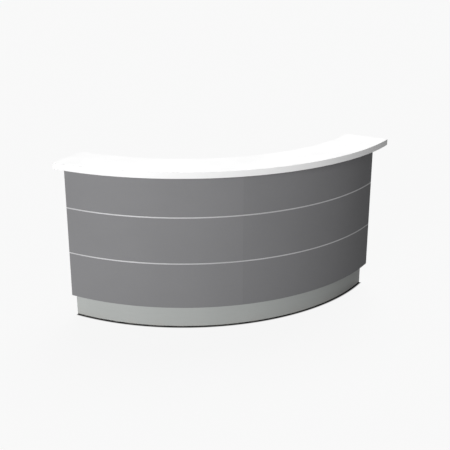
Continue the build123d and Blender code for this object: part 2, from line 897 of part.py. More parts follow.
# ---- Cam lock in the top drawer front ----------------------------------------------------------
with BuildPart() as lock_barrel:
    with BuildSketch(lock_plane(-front_face)):
        Circle(lock_head_radius)
    extrude(amount=lock_head_thickness)
    with BuildSketch(lock_plane(-front_face)):
        Circle(lock_body_radius)
    extrude(amount=-lock_body_length)
    with BuildSketch(lock_plane(lock_head_thickness - front_face)):
        Circle(lock_plug_radius + lock_running_clearance)
    extrude(amount=-(lock_head_thickness + lock_body_length), mode=Mode.SUBTRACT)
save(lock_barrel, "lock_barrel")

plug_length = lock_head_thickness + lock_body_length + cam_gap
with BuildPart() as lock_cam:
    with BuildSketch(lock_plane(lock_head_thickness - front_face)):
        Circle(lock_plug_radius)
    extrude(amount=-plug_length)
    with BuildSketch(lock_plane(lock_head_thickness - front_face)):
        Rectangle(key_slot_width, key_slot_height)
    extrude(amount=-key_slot_depth, mode=Mode.SUBTRACT)
    with BuildSketch(lock_plane(-front_face - lock_body_length - cam_gap)):
        with Locations((-(cam_length - cam_width / 2) / 2, 0)):
            SlotOverall(cam_length + cam_width / 2, cam_width)
    extrude(amount=-cam_thickness)
save(lock_cam, "lock_cam")

# ---- Cupboard door on its lift-off hinges ------------------------------------------------------
leaf_front = hinge_back + knuckle_radius + door_leaf_gap
leaf_x = (front_half - leaf_thickness, front_half)
door_board = front_board(cupboard_unit, (sole_top, front_stack_top))
with BuildPart() as door:
    add(door_board.part)
    with Locations(cupboard_unit):
        for middle in hinge_heights:
            leaf_z = pair_about(middle, hinge_height)
            block(leaf_x, (-box_front, -leaf_front), leaf_z, mode=Mode.SUBTRACT)
save(door, "door")


def knuckle(radius, bottom, top, mode=Mode.ADD):
    """Adds an upright cylinder about the hinge axis."""
    with BuildSketch(cupboard_unit.offset(bottom)) as round_end:
        with Locations((hinge_x, -hinge_back)):
            Circle(radius)
    extrude(round_end.sketch, amount=top - bottom, mode=mode)


with BuildPart(cupboard_unit) as hinge_door_leaves:
    for middle in hinge_heights:
        leaf_z = pair_about(middle, hinge_height)
        upper = (middle + knuckle_gap / 2, leaf_z[1])
        link_x = (front_half, front_half + leaf_link_thickness)
        block(leaf_x, (-box_front, -leaf_front), leaf_z)
        block(link_x, (-hinge_back - leaf_link_length, -hinge_back), upper)
        knuckle(knuckle_radius, *upper)
        knuckle(hinge_pin_radius + hinge_running_clearance, *upper, Mode.SUBTRACT)
save(hinge_door_leaves, "hinge_door_leaves")

frame_leaf_x = (unit_half, unit_half + leaf_thickness)
relief_y = -hinge_back - frame_leaf_relief
with BuildPart(cupboard_unit) as hinge_frame_leaves:
    for middle in hinge_heights:
        leaf_z = pair_about(middle, hinge_height)
        lower = (leaf_z[0], middle - knuckle_gap / 2)
        block(frame_leaf_x, (relief_y - leaf_length, relief_y), leaf_z)
        block(frame_leaf_x, (relief_y, -hinge_back), lower)
        knuckle(knuckle_radius, *lower)
        knuckle(hinge_pin_radius, *leaf_z)
save(hinge_frame_leaves, "hinge_frame_leaves")

door_handle_x = door_handle_inset - front_half
door_handle_z = front_stack_top - handle_drop - handle_pitch / 2
save(bar_handle(cupboard_unit, door_handle_x, door_handle_z, upright=True), "door_handle")
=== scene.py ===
import json
from math import atan2, cos, degrees, pi, radians, sin

import bmesh
import bpy
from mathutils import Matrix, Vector


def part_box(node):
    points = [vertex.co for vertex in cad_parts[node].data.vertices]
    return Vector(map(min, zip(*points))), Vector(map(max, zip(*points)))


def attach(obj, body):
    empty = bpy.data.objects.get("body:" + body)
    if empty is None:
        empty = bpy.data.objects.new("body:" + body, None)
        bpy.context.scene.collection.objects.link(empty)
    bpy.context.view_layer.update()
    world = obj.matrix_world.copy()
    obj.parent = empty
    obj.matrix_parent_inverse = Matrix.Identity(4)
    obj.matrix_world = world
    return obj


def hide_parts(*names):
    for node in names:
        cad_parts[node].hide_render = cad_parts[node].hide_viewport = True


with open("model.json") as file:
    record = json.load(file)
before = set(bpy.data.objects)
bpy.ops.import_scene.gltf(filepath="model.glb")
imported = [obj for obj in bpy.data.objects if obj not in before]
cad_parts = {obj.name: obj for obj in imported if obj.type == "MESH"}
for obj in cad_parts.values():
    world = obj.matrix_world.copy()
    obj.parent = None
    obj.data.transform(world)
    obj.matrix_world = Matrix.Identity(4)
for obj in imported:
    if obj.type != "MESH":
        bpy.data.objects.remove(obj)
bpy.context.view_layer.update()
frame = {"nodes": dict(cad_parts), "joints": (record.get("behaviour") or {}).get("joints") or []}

# Curved checkout counter. The sections follow the counter as it is put together, from the floor up.
# Every curved piece shares one upright arc axis; angles are measured from the axis towards the
# customer, and grow to the customer's right. Shop sizes are in millimetres, meshes in metres.

# ---- Camera ------------------------------------------------------------------------------------
# A customer's view from the front left, a little above the ledge.
viewpoint = Vector((-1.43901, -5.29459, 2.56624))
look_down = 0.34942
look_right = 0.26325
camera_data = bpy.data.cameras.new("customer_view")
camera_data.sensor_width = 36.0
camera_data.lens = 68.834
camera_data.clip_end = 200.0
camera = bpy.data.objects.new("customer_view", camera_data)
camera.location = viewpoint
camera.rotation_euler = (pi / 2 - look_down, 0, -look_right)
bpy.context.scene.collection.objects.link(camera)
bpy.context.scene.camera = camera
bpy.context.scene.view_settings.view_transform = "Standard"

# ---- Studio floor and lights -------------------------------------------------------------------
# A pale seamless floor that glows evenly to the eye and gives the object only a soft bounce.
# Under the counter it does not glow and is plain paint lit by the lamps. Along the plinth face a
# near-black painted shadow stands in for the shade in the gap below the plinth.
ledge_radius = 1.6
arc_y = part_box("counter_top")[0].y + ledge_radius


def place(tree, kind, inputs=None, **settings):
    """A new node in a tree. Each input is given a value, or a link when it is given a socket."""
    made = tree.nodes.new(kind)
    for name, value in settings.items():
        setattr(made, name, value)
    for socket, value in (inputs or {}).items():
        if isinstance(value, bpy.types.NodeSocket):
            tree.links.new(value, made.inputs[socket])
        else:
            made.inputs[socket].default_value = value
    return made


def maths(tree, operation, *values, clamp=False):
    """The output of a Math node fed with numbers or sockets."""
    inputs = dict(enumerate(values))
    return place(tree, "ShaderNodeMath", inputs, operation=operation, use_clamp=clamp).outputs[0]


def ramp(tree, value, start, end):
    """Rises smoothly from 0 at start to 1 at end."""
    inputs = {"Value": value, "From Min": start, "From Max": end}
    step = place(tree, "ShaderNodeMapRange", inputs, interpolation_type="SMOOTHSTEP")
    return step.outputs["Result"]


plinth_face = 1.455
# Painted contact shadow: the floor is painted near black from 10 mm inside the plinth face, and the
# glow only fades back in between 6 and 22 mm past the face.
painted_shadow_fade_start, painted_shadow_fade_end = plinth_face + 0.006, plinth_face + 0.022
painted_shadow_start, painted_shadow_end = plinth_face - 0.03, plinth_face - 0.01
end_start, end_end = radians(44.85), radians(45.05)
knee_space_start, knee_space_end = 1.2, 0.8
shaded_grey, painted_shadow_grey = 0.6, 0.015
floor_finish = bpy.data.materials.new("pale_floor")
floor_finish.use_nodes = True
paint = floor_finish.node_tree
paint.nodes.clear()
spot = place(paint, "ShaderNodeTexCoord").outputs["Object"]
from_axis = place(paint, "ShaderNodeVectorMath", {0: spot, 1: (0, arc_y, 0)}, operation="SUBTRACT")
parts = place(paint, "ShaderNodeSeparateXYZ", {0: from_axis.outputs[0]})
reach = place(paint, "ShaderNodeVectorMath", {0: from_axis.outputs[0]}, operation="LENGTH")
outwards = maths(paint, "MULTIPLY", parts.outputs["Y"], -1.0)
turn = maths(paint, "ARCTAN2", parts.outputs["X"], outwards)
past_painted_shadow = ramp(paint, reach.outputs["Value"], painted_shadow_fade_start, painted_shadow_fade_end)
beyond_ends = ramp(paint, maths(paint, "ABSOLUTE", turn), end_start, end_end)
cashier_side = ramp(paint, reach.outputs["Value"], knee_space_start, knee_space_end)
in_the_open = maths(
    paint, "MAXIMUM", maths(paint, "MAXIMUM", past_painted_shadow, beyond_ends), cashier_side
)
glow = place(paint, "ShaderNodeEmission", {"Color": (1, 1, 1, 1), "Strength": 0.91})
sheen = place(paint, "ShaderNodeBsdfDiffuse", {"Color": (0.027, 0.027, 0.027, 1)})
lit_floor = place(paint, "ShaderNodeAddShader", {0: glow.outputs[0], 1: sheen.outputs[0]})
# Painted shadow mask: the bare floor turns from its grey to near black towards the plinth face.
painted_shadow_mask = ramp(paint, reach.outputs["Value"], painted_shadow_start, painted_shadow_end)
painted_shadow_loss = maths(paint, "MULTIPLY", painted_shadow_mask, shaded_grey - painted_shadow_grey)
floor_grey_with_painted_shadow = maths(paint, "SUBTRACT", shaded_grey, painted_shadow_loss)
bare_floor_with_painted_shadow = place(paint, "ShaderNodeBsdfDiffuse", {"Color": floor_grey_with_painted_shadow})
seen = place(
    paint,
    "ShaderNodeMixShader",
    {0: in_the_open, 1: bare_floor_with_painted_shadow.outputs[0], 2: lit_floor.outputs[0]},
)
bounce = place(paint, "ShaderNodeBsdfDiffuse", {"Color": (0.25, 0.25, 0.25, 1)})
eye = place(paint, "ShaderNodeLightPath").outputs["Is Camera Ray"]
both = place(paint, "ShaderNodeMixShader", {0: eye, 1: bounce.outputs[0], 2: seen.outputs[0]})
place(paint, "ShaderNodeOutputMaterial", {"Surface": both.outputs[0]})

half_floor = 60
floor_corners = [
    (x * half_floor, y * half_floor, 0) for x, y in ((-1, -1), (1, -1), (1, 1), (-1, 1))
]
floor_mesh = bpy.data.meshes.new("studio_floor")
floor_mesh.from_pydata(floor_corners, [], [(0, 1, 2, 3)])
floor_mesh.materials.append(floor_finish)
studio_floor = bpy.data.objects.new("studio_floor", floor_mesh)
bpy.context.scene.collection.objects.link(studio_floor)

surroundings = bpy.data.worlds.new("studio")
surroundings.use_nodes = True
air = surroundings.node_tree
air.nodes.clear()
fill = place(air, "ShaderNodeBackground", {"Color": (1, 1, 1, 1), "Strength": 0.18})
backdrop = place(air, "ShaderNodeBackground", {"Color": (1, 1, 1, 1), "Strength": 0.947})
eye = place(air, "ShaderNodeLightPath").outputs["Is Camera Ray"]
around = place(air, "ShaderNodeMixShader", {0: eye, 1: fill.outputs[0], 2: backdrop.outputs[0]})
place(air, "ShaderNodeOutputWorld", {"Surface": around.outputs[0]})
bpy.context.scene.world = surroundings


def softbox(name, bearing, height, strength, softness):
    """A broad soft light. Its bearing is measured as the counter's angles are."""
    light = bpy.data.lights.new(name, "SUN")
    light.energy = strength
    light.angle = radians(softness)
    lamp = bpy.data.objects.new(name, light)
    up, side = radians(height), radians(bearing)
    towards = Vector((sin(side) * cos(up), -cos(side) * cos(up), sin(up)))
    lamp.rotation_euler = towards.to_track_quat("Z", "Y").to_euler()
    bpy.context.scene.collection.objects.link(lamp)


softbox("front_left_softbox", bearing=-45, height=9, strength=2.95, softness=20)
softbox("overhead_softbox", bearing=150, height=62, strength=3.3, softness=40)

# ---- Board finishes ----------------------------------------------------------------------------
# Laminate and melamine: a printed paper with fine flecks under a hard satin film. The film has a
# pearl relief, dulls where hands and cloths pass, and shows its edge band a shade darker.


def shader_group(name, inputs, outputs):
    """A shader node group with named sockets, and its two end nodes."""
    tree = bpy.data.node_groups.new(name, "ShaderNodeTree")
    for label, kind, value in inputs:
        tree.interface.new_socket(label, in_out="INPUT", socket_type=kind).default_value = value
    for label, kind in outputs:
        tree.interface.new_socket(label, in_out="OUTPUT", socket_type=kind)
    return tree, tree.nodes.new("NodeGroupInput").outputs, tree.nodes.new("NodeGroupOutput").inputs


def swing(tree, value, width):
    """A 0 to 1 value made to swing about 0, over the given width."""
    return maths(tree, "MULTIPLY", maths(tree, "SUBTRACT", value, 0.5), width)


number_kind, colour_kind, vector_kind = "NodeSocketFloat", "NodeSocketColor", "NodeSocketVector"

flecks, given, result = shader_group(
    "Flecks",
    [
        ("Colour", colour_kind, (0.8, 0.8, 0.8, 1)),
        ("Fleck Scale", number_kind, 500.0),
        ("Fleck Strength", number_kind, 0.05),
        ("Cloud Strength", number_kind, 0.03),
    ],
    [("Colour", colour_kind)],
)
spot = place(flecks, "ShaderNodeTexCoord").outputs["Object"]
fine = place(
    flecks, "ShaderNodeTexNoise", {"Vector": spot, "Scale": given["Fleck Scale"], "Detail": 2.0}
)
broad = place(flecks, "ShaderNodeTexNoise", {"Vector": spot, "Scale": 2.4, "Detail": 3.0})
fine_shift = swing(flecks, ramp(flecks, fine.outputs[0], 0.3, 0.7), given["Fleck Strength"])
broad_shift = swing(flecks, ramp(flecks, broad.outputs[0], 0.3, 0.7), given["Cloud Strength"])
tone = maths(flecks, "ADD", maths(flecks, "ADD", fine_shift, broad_shift), 1.0)
toned = place(
    flecks, "ShaderNodeVectorMath", {0: given["Colour"], "Scale": tone}, operation="SCALE"
)
flecks.links.new(toned.outputs[0], result["Colour"])

handling, given, result = shader_group(
    "Handling",
    [
        ("Roughness", number_kind, 0.4),
        ("Spread", number_kind, 0.1),
        ("Patch Scale", number_kind, 7.0),
    ],
    [("Roughness", number_kind)],
)
spot = place(handling, "ShaderNodeTexCoord").outputs["Object"]
wiped = place(handling, "ShaderNodeMapping", {"Vector": spot, "Scale": (1.0, 1.0, 3.0)})
patches = place(
    handling,
    "ShaderNodeTexNoise",
    {"Vector": wiped.outputs[0], "Scale": given["Patch Scale"], "Detail": 5.0, "Distortion": 0.6},
)
shift = swing(handling, patches.outputs[0], given["Spread"])
uneven = maths(handling, "ADD", given["Roughness"], shift, clamp=True)
handling.links.new(uneven, result["Roughness"])

relief, given, result = shader_group(
    "Relief",
    [("Scale", number_kind, 900.0), ("Stretch", vector_kind, (1.0, 1.0, 1.0))],
    [("Height", number_kind)],
)
spot = place(relief, "ShaderNodeTexCoord").outputs["Object"]
drawn = place(relief, "ShaderNodeVectorMath", {0: spot, 1: given["Stretch"]}, operation="MULTIPLY")
grain = place(
    relief,
    "ShaderNodeTexNoise",
    {"Vector": drawn.outputs[0], "Scale": given["Scale"], "Detail": 3.0, "Roughness": 0.6},
)
relief.links.new(grain.outputs[0], result["Height"])

edge_wear, given, result = shader_group(
    "Edge Wear",
    [("Amount", number_kind, 0.5), ("Patch Scale", number_kind, 45.0)],
    [("Mask", number_kind)],
)
spot = place(edge_wear, "ShaderNodeTexCoord").outputs["Object"]
corner = place(edge_wear, "ShaderNodeAttribute", attribute_name="eased_edge").outputs["Fac"]
rubbed = place(
    edge_wear, "ShaderNodeTexNoise", {"Vector": spot, "Scale": given["Patch Scale"], "Detail": 4.0}
)
patchy = ramp(edge_wear, rubbed.outputs[0], 0.42, 0.68)
worn = maths(edge_wear, "MULTIPLY", maths(edge_wear, "MULTIPLY", patchy, corner), given["Amount"])
edge_wear.links.new(worn, result["Mask"])

floor_dust, given, result = shader_group(
    "Floor Dust",
    [("Amount", number_kind, 0.3), ("Height", number_kind, 0.1)],
    [("Mask", number_kind)],
)
spot = place(floor_dust, "ShaderNodeTexCoord").outputs["Object"]
above_floor = place(floor_dust, "ShaderNodeSeparateXYZ", {0: spot}).outputs["Z"]
risen = maths(floor_dust, "DIVIDE", above_floor, given["Height"])
near_floor = maths(floor_dust, "SUBTRACT", 1.0, risen, clamp=True)
drifts = place(floor_dust, "ShaderNodeTexNoise", {"Vector": spot, "Scale": 14.0, "Detail": 5.0})
drifted = ramp(floor_dust, drifts.outputs[0], 0.3, 0.7)
settled = maths(floor_dust, "MULTIPLY", near_floor, drifted)
floor_dust.links.new(maths(floor_dust, "MULTIPLY", settled, given["Amount"]), result["Mask"])
dust_colour = (0.42, 0.4, 0.37)


def use(tree, group, output, **inputs):
    """Places a node group with its own values and gives one of its outputs."""
    made = place(tree, "ShaderNodeGroup", node_tree=group)
    for label, value in inputs.items():
        made.inputs[label.replace("_", " ")].default_value = value
    return made.outputs[output]


def blended(tree, factor, first, second):
    """A mix of two colours, each given as an RGB value or a socket."""
    colours = {
        socket: value if isinstance(value, bpy.types.NodeSocket) else (*value, 1)
        for socket, value in ((6, first), (7, second))
    }
    mix = place(tree, "ShaderNodeMix", data_type="RGBA")
    for socket, value in {0: factor, **colours}.items():
        if isinstance(value, bpy.types.NodeSocket):
            tree.links.new(value, mix.inputs[socket])
        else:
            mix.inputs[socket].default_value = value
    return mix.outputs[2]


def finish_for(name, **settings):
    """A new material, with the values that are the same all over it set on its shader."""
    material = bpy.data.materials.new(name)
    material.use_nodes = True
    shader = material.node_tree.nodes["Principled BSDF"]
    for label, value in settings.items():
        shader.inputs[label.replace("_", " ")].default_value = value
    return material, material.node_tree, shader


def board_finish(name, colour, worn_colour, roughness, fleck=0.05, painted_shade_right_sheet=None):
    """A laminated board: flecked print, satin film, a darker edge band and rubbed corners.

    With a colour for the right-hand sheet it is faced in two sheets that are butted on the middle
    plane; that darker right-hand tone is painted shade, standing in for the shade step at the
    joint.
    """
    material, tree, shader = finish_for(name, Specular_IOR_Level=0.45)
    print_settings = {"Fleck_Scale": 620.0, "Fleck_Strength": fleck}
    sheet = use(tree, flecks, "Colour", Colour=(*colour, 1), **print_settings)
    if painted_shade_right_sheet:
        half_joint = 0.00015
        # The right-hand sheet is painted shade: a darker tone on the right half of the front.
        painted_shade_sheet = use(tree, flecks, "Colour", Colour=(*painted_shade_right_sheet, 1), **print_settings)
        spot = place(tree, "ShaderNodeTexCoord").outputs["Object"]
        across = place(tree, "ShaderNodeSeparateXYZ", {0: spot}).outputs["X"]
        sheets_with_painted_shade = blended(tree, maths(tree, "GREATER_THAN", across, 0.0), sheet, painted_shade_sheet)
        butt_joint = maths(tree, "LESS_THAN", maths(tree, "ABSOLUTE", across), half_joint)
        dark_joint = [0.4 * part for part in colour]
        sheet = blended(tree, butt_joint, sheets_with_painted_shade, dark_joint)
    band = place(tree, "ShaderNodeAttribute", attribute_name="edge_band").outputs["Fac"]
    band_colour = [0.86 * part for part in colour]
    banded = blended(tree, maths(tree, "MULTIPLY", band, 0.6), sheet, band_colour)
    rubbed = blended(tree, use(tree, edge_wear, "Mask", Amount=0.45), banded, worn_colour)
    tree.links.new(rubbed, shader.inputs["Base Color"])
    film = use(tree, handling, "Roughness", Roughness=roughness, Spread=0.16)
    tree.links.new(film, shader.inputs["Roughness"])
    pearl = use(tree, relief, "Height", Scale=850.0)
    bump = place(tree, "ShaderNodeBump", {"Strength": 0.6, "Distance": 0.0001, "Height": pearl})
    tree.links.new(bump.outputs[0], shader.inputs["Normal"])
    return material


white_laminate = board_finish("white_laminate", (0.9, 0.9, 0.9), (0.76, 0.75, 0.73), 0.36, 0.035)
grey_laminate = board_finish("grey_laminate", (0.197, 0.197, 0.203), (0.3, 0.3, 0.3), 0.75, 0.13)
pale_melamine = board_finish("pale_melamine", (0.66, 0.66, 0.645), (0.5, 0.46, 0.4), 0.44, 0.09)

# ---- Levelling feet and their sockets ----------------------------------------------------------
# Six zinc-plated feet with rolled threads, in pressed sockets that are screwed up under the sole
# and the units. The thread stays inside its socket until the foot is wound out.
foot_names = [name for name in frame["nodes"] if name.startswith("foot_")]


def metal_finish(
    name, colour, roughness, spread, cloud, stretch=(1, 1, 1), line_depth=0.00002, mirror=1.0
):
    """Bare or plated metal: cloudy tone, uneven gloss and fine lines along the way it was drawn."""
    material, tree, shader = finish_for(name, Metallic=mirror)
    tone = use(
        tree, flecks, "Colour", Colour=(*colour, 1), Fleck_Scale=240.0, Fleck_Strength=0.1,
        Cloud_Strength=cloud,
    )
    bright = [min(1, 1.25 * part) for part in colour]
    rubbed = blended(tree, use(tree, edge_wear, "Mask", Amount=0.5), tone, bright)
    dust = use(tree, floor_dust, "Mask", Amount=0.6, Height=0.06)
    dusty = blended(tree, dust, rubbed, dust_colour)
    tree.links.new(dusty, shader.inputs["Base Color"])
    gloss = use(tree, handling, "Roughness", Roughness=roughness, Spread=spread, Patch_Scale=22.0)
    tree.links.new(gloss, shader.inputs["Roughness"])
    lines = use(tree, relief, "Height", Scale=500.0, Stretch=stretch)
    bump = place(tree, "ShaderNodeBump", {"Strength": 0.6, "Distance": line_depth, "Height": lines})
    tree.links.new(bump.outputs[0], shader.inputs["Normal"])
    return material


zinc_plate = metal_finish("zinc_plate", (0.5, 0.52, 0.54), 0.38, 0.2, 0.3)


def fixed(piece, body, nodes=()):
    """Hands a finished piece over: it rides a body and stands for its CAD nodes."""
    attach(piece, body)
    if nodes:
        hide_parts(*nodes)


def plain_mesh(piece, name):
    """The piece with its modifiers worked in, as a new object at the origin."""
    depsgraph = bpy.context.evaluated_depsgraph_get()
    mesh = bpy.data.meshes.new_from_object(
        piece.evaluated_get(depsgraph), preserve_all_data_layers=True, depsgraph=depsgraph
    )
    mesh.name = name
    bpy.data.objects.remove(piece)
    made = bpy.data.objects.new(name, mesh)
    bpy.context.scene.collection.objects.link(made)
    return made


def weighted(piece):
    """Flat faces stay flat and only the eased edges between them turn the light."""
    normals = piece.modifiers.new("flat_faces", "WEIGHTED_NORMAL")
    normals.weight = 100
    normals.keep_sharp = True


def turned_piece(name, profile, middle, material):
    """A round piece turned about an upright axis from (radius, height) pairs, in millimetres."""
    steps, sharp_angle = 32, radians(35)
    shape = bmesh.new()
    rings = []
    for radius, height in profile:
        ring = []
        for step in range(steps):
            side = 2 * pi * step / steps
            spot = Vector((radius * cos(side), radius * sin(side), height)) / 1000 + middle
            ring.append(shape.verts.new(spot))
        rings.append(ring)
    for low, high in zip(rings, rings[1:]):
        for step in range(steps):
            after = (step + 1) % steps
            shape.faces.new((low[step], low[after], high[after], high[step]))
    shape.faces.new(rings[0][::-1])
    shape.faces.new(rings[-1])
    bmesh.ops.recalc_face_normals(shape, faces=shape.faces)
    mesh = bpy.data.meshes.new(name)
    shape.to_mesh(mesh)
    shape.free()
    mesh.shade_smooth()
    mesh.set_sharp_from_angle(angle=sharp_angle)
    mesh.materials.append(material)
    piece = bpy.data.objects.new(name, mesh)
    bpy.context.scene.collection.objects.link(piece)
    return piece


thread_root, thread_crest = 11.4, 12.6
thread_turns, thread_pitch, thread_start = 33, 2.5, 11.5
thread_form = ((thread_root, 0), (thread_root, 0.4), (thread_crest, 1.1), (thread_crest, 1.6))
foot_profile = [(20.5, 0), (22.6, 0.4), (24, 1.6), (24, 6), (21.2, 8.6), (19.5, 9), (14, 9)]
foot_profile.append((13, 9.6))
for turn_number in range(thread_turns):
    turn_low = thread_start + turn_number * thread_pitch
    foot_profile += [(radius, turn_low + rise) for radius, rise in thread_form]
foot_profile += [(thread_root, 94.5), (10.2, 97)]
for name in foot_names:
    low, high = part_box(name)
    middle = Vector(((low.x + high.x) / 2, (low.y + high.y) / 2, 0))
    foot = turned_piece(name.replace("foot", "levelling_foot"), foot_profile, middle, zinc_plate)
    fixed(foot, name + "_leg", [name])


def eased_copy(name, node, ease, material, body):
    """A CAD node's shape with its facets merged, its sharp edges rounded and its bands marked."""
    merge_gap, facet_angle = 0.000002, radians(0.3)
    widest_edge_band, sharp_angle = 0.027, radians(50)
    shape = bmesh.new()
    shape.from_mesh(frame["nodes"][node].data)
    bmesh.ops.remove_doubles(shape, verts=shape.verts, dist=merge_gap)
    bmesh.ops.dissolve_limit(
        shape, angle_limit=facet_angle, verts=shape.verts, edges=shape.edges, delimit=set()
    )
    eased_layer = shape.faces.layers.float.new("eased_edge")
    band_layer = shape.faces.layers.float.new("edge_band")
    for face in shape.faces:
        along = face.calc_tangent_edge() if len(face.verts) > 3 else face.calc_tangent_edge_pair()
        spans = []
        for way in (along, face.normal.cross(along)):
            reaches = [vert.co.dot(way) for vert in face.verts]
            spans.append(max(reaches) - min(reaches))
        face[band_layer] = 1.0 if min(spans) < widest_edge_band else 0.0
    sharp = [
        edge for edge in shape.edges
        if edge.is_manifold and edge.calc_face_angle(0) > sharp_angle
    ]
    eased = bmesh.ops.bevel(
        shape, geom=sharp, offset=ease / 1000, segments=2, profile=0.5, affect="EDGES",
        clamp_overlap=True,
    )
    for face in eased["faces"]:
        face[eased_layer] = 1.0
    mesh = bpy.data.meshes.new(name)
    shape.to_mesh(mesh)
    shape.free()
    mesh.shade_smooth()
    mesh.set_sharp_from_angle(angle=sharp_angle)
    mesh.materials.append(material)
    piece = bpy.data.objects.new(name, mesh)
    bpy.context.scene.collection.objects.link(piece)
    weighted(piece)
    fixed(plain_mesh(piece, name), body, [node])


eased_copy("leg_socket_cups", "leg_sockets", 0.5, zinc_plate, "counter")

# ---- Screw heads -------------------------------------------------------------------------------
# Pan-head chipboard screws with a cross recess. Each set is a row of spots with the way that its
# heads face; every head is turned at random about its own screw, as a driver leaves it.
screw_tree = bpy.data.node_groups.new("Screw Heads", "GeometryNodeTree")
for label, kind in (
    ("Spots", "NodeSocketGeometry"),
    ("Head Radius", "NodeSocketFloat"),
    ("Head Height", "NodeSocketFloat"),
    ("Finish", "NodeSocketMaterial"),
    ("Seed", "NodeSocketInt"),
):
    screw_tree.interface.new_socket(label, in_out="INPUT", socket_type=kind)
screw_tree.interface.new_socket("Heads", in_out="OUTPUT", socket_type="NodeSocketGeometry")
given = screw_tree.nodes.new("NodeGroupInput").outputs
radius, height = given["Head Radius"], given["Head Height"]
flat_share, recess_length, recess_width, recess_lift = 0.68, 1.05, 0.24, 0.9
dome = place(
    screw_tree,
    "GeometryNodeMeshCone",
    {
        "Vertices": 20,
        "Radius Top": maths(screw_tree, "MULTIPLY", radius, flat_share),
        "Radius Bottom": radius,
        "Depth": height,
    },
)
slots = []
for turn_by in (0.0, pi / 2):
    size = place(
        screw_tree,
        "ShaderNodeCombineXYZ",
        {
            "X": maths(screw_tree, "MULTIPLY", radius, recess_length),
            "Y": maths(screw_tree, "MULTIPLY", radius, recess_width),
            "Z": height,
        },
    )
    bar = place(screw_tree, "GeometryNodeMeshCube", {"Size": size.outputs[0]})
    raised = maths(screw_tree, "MULTIPLY", height, recess_lift)
    lift = place(screw_tree, "ShaderNodeCombineXYZ", {"Z": raised})
    moved = place(
        screw_tree,
        "GeometryNodeTransform",
        {"Geometry": bar.outputs[0], "Translation": lift.outputs[0], "Rotation": (0, 0, turn_by)},
    )
    slots.append(moved.outputs[0])
cut = place(screw_tree, "GeometryNodeMeshBoolean", {0: dome.outputs[0]}, operation="DIFFERENCE")
for slot_shape in slots:
    screw_tree.links.new(slot_shape, cut.inputs[1])
facing = place(
    screw_tree, "GeometryNodeInputNamedAttribute", {"Name": "facing"}, data_type="FLOAT_VECTOR"
)
aimed = place(
    screw_tree, "FunctionNodeAlignRotationToVector", {"Vector": facing.outputs[0]}, axis="Z"
)
any_turn = place(
    screw_tree,
    "FunctionNodeRandomValue",
    {2: 0.0, 3: pi, "Seed": given["Seed"]},
    data_type="FLOAT",
)
twist = place(
    screw_tree,
    "FunctionNodeAxisAngleToRotation",
    {"Axis": (0, 0, 1), "Angle": any_turn.outputs[1]},
)
driven = place(
    screw_tree,
    "FunctionNodeRotateRotation",
    {0: aimed.outputs[0], 1: twist.outputs[0]},
    rotation_space="LOCAL",
)
heads = place(
    screw_tree,
    "GeometryNodeInstanceOnPoints",
    {"Points": given["Spots"], "Instance": cut.outputs[0], "Rotation": driven.outputs[0]},
)
real = place(screw_tree, "GeometryNodeRealizeInstances", {"Geometry": heads.outputs[0]})
coated = place(
    screw_tree,
    "GeometryNodeSetMaterial",
    {"Geometry": real.outputs[0], "Material": given["Finish"]},
)
screw_end = screw_tree.nodes.new("NodeGroupOutput")
screw_tree.links.new(coated.outputs[0], screw_end.inputs[0])


def add_tree(piece, tree, values):
    """A Geometry Nodes modifier with its named inputs set."""
    modifier = piece.modifiers.new(tree.name, "NODES")
    modifier.node_group = tree
    for item in tree.interface.items_tree:
        if item.in_out == "INPUT" and item.name in values:
            modifier[item.identifier] = values[item.name]


def screw_heads(name, spots, radius, height, body, material, seed, nodes=()):
    """Screw heads in millimetres at (position, direction) pairs in the shared frame."""
    mesh = bpy.data.meshes.new(name)
    mesh.from_pydata([position for position, _ in spots], [], [])
    way = mesh.attributes.new("facing", "FLOAT_VECTOR", "POINT")
    way.data.foreach_set("vector", [part for _, direction in spots for part in direction])
    piece = bpy.data.objects.new(name, mesh)
    bpy.context.scene.collection.objects.link(piece)
    values = {
        "Head Radius": radius / 1000,
        "Head Height": height / 1000,
        "Finish": material,
        "Seed": seed,
    }
    add_tree(piece, screw_tree, values)
    fixed(plain_mesh(piece, name), body, nodes)


socket_screws = []
socket_screw_circle = 0.0218
sole_flange, unit_flange = 0.153, 0.171
for name in foot_names:
    low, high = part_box(name)
    for step in range(4):
        side = pi / 4 + step * pi / 2
        position = (
            (low.x + high.x) / 2 + socket_screw_circle * cos(side),
            (low.y + high.y) / 2 + socket_screw_circle * sin(side),
            sole_flange if "front" in name else unit_flange,
        )
        socket_screws.append((position, (0, 0, -1)))
screw_heads("socket_screws", socket_screws, 3.4, 1.6, "counter", zinc_plate, 3)

# ---- Bent boards -------------------------------------------------------------------------------
# The sole, plinth, front, rails and ledge are boards cut or pressed to the same arc. One tree
# sweeps a section along the arc; its ends stop square, or short of a board that stands there.
bent_tree = bpy.data.node_groups.new("Bent Board", "GeometryNodeTree")
for label in (
    "Inner Radius", "Outer Radius", "Bottom", "Height", "Start Angle", "End Angle",
    "Start Inset", "End Inset", "Upper Ease", "Lower Ease", "Axis Y",
):
    bent_tree.interface.new_socket(label, in_out="INPUT", socket_type="NodeSocketFloat")
bent_tree.interface.new_socket("Steps", in_out="INPUT", socket_type="NodeSocketInt")
bent_tree.interface.new_socket("Finish", in_out="INPUT", socket_type="NodeSocketMaterial")
bent_tree.interface.new_socket("Board", in_out="OUTPUT", socket_type="NodeSocketGeometry")
given = bent_tree.nodes.new("NodeGroupInput").outputs
start, end = given["Start Angle"], given["End Angle"]
sweep = maths(bent_tree, "SUBTRACT", end, start)
both_radii = maths(bent_tree, "ADD", given["Inner Radius"], given["Outer Radius"])
